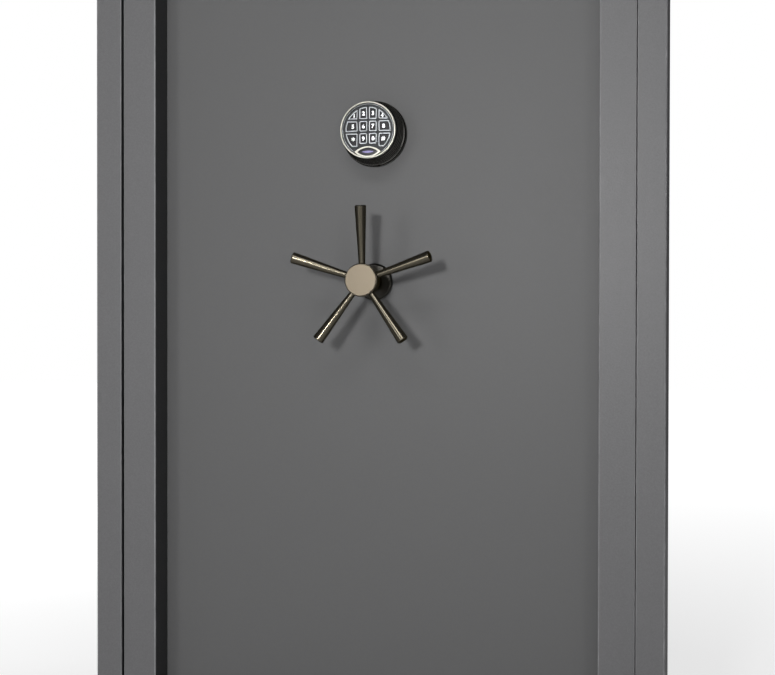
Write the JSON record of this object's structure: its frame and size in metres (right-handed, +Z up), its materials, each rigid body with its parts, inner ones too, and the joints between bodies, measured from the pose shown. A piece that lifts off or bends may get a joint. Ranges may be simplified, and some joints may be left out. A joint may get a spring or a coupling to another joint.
{
  "type": "gun safe",
  "caption": "Tall fire-lined gun safe with a recessed swinging door, four-way sliding bolts, a five-spoke handle, a round push-button electronic dial, shelves and a barrel rack.",
  "frame": {"origin": "centre of the cabinet's flat underside, on the floor", "axes": "+Z up, -Y out of the front where the door, handle and dial are, +X to the right seen from the front, towards the door hinges"},
  "size_m": [0.9144, 0.6897, 1.5367],
  "materials": {
    "charcoal_paint": "textured charcoal grey powder coat",
    "door_paint": "fine textured charcoal grey powder coat",
    "black_paint": "satin black powder coat",
    "black_metal": "gloss black on machined metal",
    "bare_steel": "zinc-bright rolled steel",
    "chromed_steel": "polished chrome",
    "black_nickel": "polished black nickel",
    "champagne_nickel": "satin champagne nickel",
    "lock_alloy": "chromated die-cast alloy",
    "black_plastic": "moulded black",
    "face_plastic": "satin dark grey",
    "key_metal": "metallised key tops",
    "fire_board": "pressed gypsum fire board",
    "grey_fabric": "short-pile grey carpet fabric",
    "mat_fabric": "ribbed dark grey carpet",
    "seal": "black expanding fire seal"
  },
  "bodies": {
    "cabinet": {"outer_shell": "charcoal_paint", "fire_board": "fire_board", "interior_lining": "grey_fabric", "door_frame": "black_paint", "frame_seal": "seal", "floor_mat": "mat_fabric", "centre_divider": "grey_fabric", "top_shelf": "grey_fabric", "side_shelf": "grey_fabric", "barrel_rack": "grey_fabric", "hinge_lower_frame_half": "black_paint", "hinge_upper_frame_half": "black_paint", "hinge_lower_pin": "chromed_steel", "hinge_upper_pin": "chromed_steel"},
    "door": {"door_skin": "door_paint", "door_core": "fire_board", "hardplate": "bare_steel", "door_tray": "black_paint", "door_trim_panel": "grey_fabric", "hinge_lower_door_half": "black_paint", "hinge_upper_door_half": "black_paint", "handle_rose": "black_metal", "dial_base": "black_plastic", "lock_body": "lock_alloy"},
    "handle": {"handle_hub": "champagne_nickel", "handle_spindle": "bare_steel", "cam_plate": "bare_steel", "handle_spoke_1": "black_nickel", "handle_spoke_2": "black_nickel", "handle_spoke_3": "black_nickel", "handle_spoke_4": "black_nickel", "handle_spoke_5": "black_nickel"},
    "left_bolts": {"left_bolt_bar": "bare_steel", "left_bolt_1": "chromed_steel", "left_bolt_2": "chromed_steel", "left_bolt_3": "chromed_steel"},
    "right_bolts": {"right_bolt_bar": "bare_steel", "right_bolt_1": "chromed_steel", "right_bolt_2": "chromed_steel", "right_bolt_3": "chromed_steel"},
    "top_bolts": {"top_bolt_bar": "bare_steel", "top_bolt": "chromed_steel"},
    "bottom_bolts": {"bottom_bolt_bar": "bare_steel", "bottom_bolt": "chromed_steel"},
    "dial": {"dial_housing": "black_metal", "dial_bezel": "chromed_steel", "dial_face": "face_plastic"},
    "lock_bolt_slide": {"lock_bolt": "chromed_steel"},
    "key_1": {"key_1": "key_metal"},
    "key_2": {"key_2": "key_metal"},
    "key_3": {"key_3": "key_metal"},
    "key_4": {"key_4": "key_metal"},
    "key_5": {"key_5": "key_metal"},
    "key_6": {"key_6": "key_metal"},
    "key_7": {"key_7": "key_metal"},
    "key_8": {"key_8": "key_metal"},
    "key_9": {"key_9": "key_metal"},
    "key_10": {"key_10": "key_metal"},
    "key_11": {"key_11": "key_metal"},
    "key_12": {"key_12": "key_metal"}
  },
  "joints": [
    {"name": "door_swing", "type": "hinge", "parent": "cabinet", "child": "door", "pos_m": [0.432, -0.3325, 0.125], "axis": [0, 0, 1], "range_deg": [0, 135]},
    {"name": "handle_turn", "type": "hinge", "parent": "door", "child": "handle", "pos_m": [0, -0.2655, 0.795], "axis": [0, -1, 0], "range_deg": [0, 75]},
    {"name": "left_bolts_throw", "type": "slide", "parent": "door", "child": "left_bolts", "axis": [-1, 0, 0], "range_m": [0, 0.0281]},
    {"name": "right_bolts_throw", "type": "slide", "parent": "door", "child": "right_bolts", "axis": [1, 0, 0], "range_m": [0, 0.0281]},
    {"name": "top_bolts_throw", "type": "slide", "parent": "door", "child": "top_bolts", "axis": [0, 0, 1], "range_m": [0, 0.0281]},
    {"name": "bottom_bolts_throw", "type": "slide", "parent": "door", "child": "bottom_bolts", "axis": [0, 0, -1], "range_m": [0, 0.0281]},
    {"name": "dial_turn", "type": "hinge", "parent": "door", "child": "dial", "pos_m": [0, -0.2655, 1.031], "axis": [0, -1, 0], "range_deg": [0, 90]},
    {"name": "lock_bolt_throw", "type": "slide", "parent": "door", "child": "lock_bolt_slide", "axis": [1, 0, 0], "range_m": [0, 0.0121]},
    {"name": "key_1_press", "type": "slide", "parent": "dial", "child": "key_1", "axis": [0, 1, 0], "range_m": [0, 0.0012], "stiffness_N_per_m": 400, "springref_m": -0.001},
    {"name": "key_2_press", "type": "slide", "parent": "dial", "child": "key_2", "axis": [0, 1, 0], "range_m": [0, 0.0012], "stiffness_N_per_m": 400, "springref_m": -0.001},
    {"name": "key_3_press", "type": "slide", "parent": "dial", "child": "key_3", "axis": [0, 1, 0], "range_m": [0, 0.0012], "stiffness_N_per_m": 400, "springref_m": -0.001},
    {"name": "key_4_press", "type": "slide", "parent": "dial", "child": "key_4", "axis": [0, 1, 0], "range_m": [0, 0.0012], "stiffness_N_per_m": 400, "springref_m": -0.001},
    {"name": "key_5_press", "type": "slide", "parent": "dial", "child": "key_5", "axis": [0, 1, 0], "range_m": [0, 0.0012], "stiffness_N_per_m": 400, "springref_m": -0.001},
    {"name": "key_6_press", "type": "slide", "parent": "dial", "child": "key_6", "axis": [0, 1, 0], "range_m": [0, 0.0012], "stiffness_N_per_m": 400, "springref_m": -0.001},
    {"name": "key_7_press", "type": "slide", "parent": "dial", "child": "key_7", "axis": [0, 1, 0], "range_m": [0, 0.0012], "stiffness_N_per_m": 400, "springref_m": -0.001},
    {"name": "key_8_press", "type": "slide", "parent": "dial", "child": "key_8", "axis": [0, 1, 0], "range_m": [0, 0.0012], "stiffness_N_per_m": 400, "springref_m": -0.001},
    {"name": "key_9_press", "type": "slide", "parent": "dial", "child": "key_9", "axis": [0, 1, 0], "range_m": [0, 0.0012], "stiffness_N_per_m": 400, "springref_m": -0.001},
    {"name": "key_10_press", "type": "slide", "parent": "dial", "child": "key_10", "axis": [0, 1, 0], "range_m": [0, 0.0012], "stiffness_N_per_m": 400, "springref_m": -0.001},
    {"name": "key_11_press", "type": "slide", "parent": "dial", "child": "key_11", "axis": [0, 1, 0], "range_m": [0, 0.0012], "stiffness_N_per_m": 400, "springref_m": -0.001},
    {"name": "key_12_press", "type": "slide", "parent": "dial", "child": "key_12", "axis": [0, 1, 0], "range_m": [0, 0.0012], "stiffness_N_per_m": 400, "springref_m": -0.001}
  ],
  "couplings": [
    {"joint": "left_bolts_throw", "follows": "handle_turn", "m_per_rad": 0.0214},
    {"joint": "right_bolts_throw", "follows": "handle_turn", "m_per_rad": 0.0214},
    {"joint": "top_bolts_throw", "follows": "handle_turn", "m_per_rad": 0.0214},
    {"joint": "bottom_bolts_throw", "follows": "handle_turn", "m_per_rad": 0.0214},
    {"joint": "lock_bolt_throw", "follows": "dial_turn", "m_per_rad": 0.0076}
  ]
}
